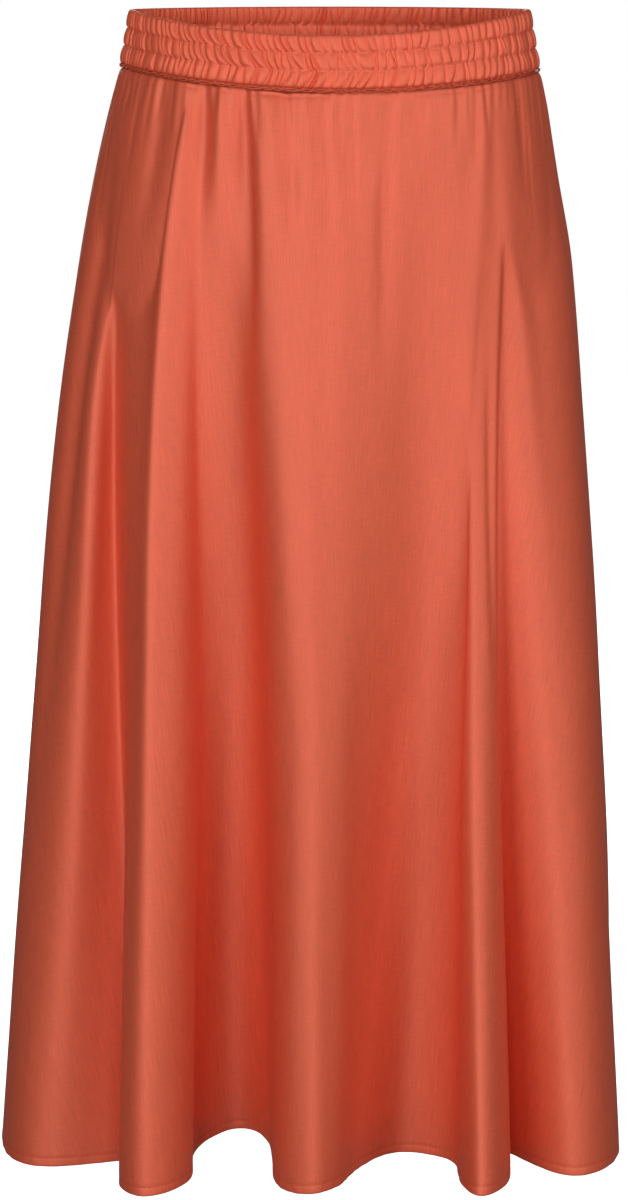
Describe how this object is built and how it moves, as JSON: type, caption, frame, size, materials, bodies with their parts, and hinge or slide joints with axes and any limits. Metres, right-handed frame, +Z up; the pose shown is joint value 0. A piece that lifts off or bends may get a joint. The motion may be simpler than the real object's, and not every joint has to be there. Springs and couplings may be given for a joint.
{
  "type": "maxi skirt",
  "caption": "Flared satin maxi skirt with a ruched elastic waistband and a narrow turned hem, in the hollow form it has when worn.",
  "frame": {"origin": "middle of the waist, inside the waistband, where the wearer holds the skirt up", "axes": "+Z up, front faces -Y, the wearer's left is +X"},
  "size_m": [0.5098, 0.412, 0.9204],
  "materials": {
    "satin": "coral satin with a soft sheen and a fine crossed grain",
    "ruched_satin": "the same satin gathered over elastic in stitched channels"
  },
  "bodies": {
    "root": {"skirt_front": "satin", "skirt_back": "satin", "waistband": "ruched_satin"}
  },
  "joints": []
}
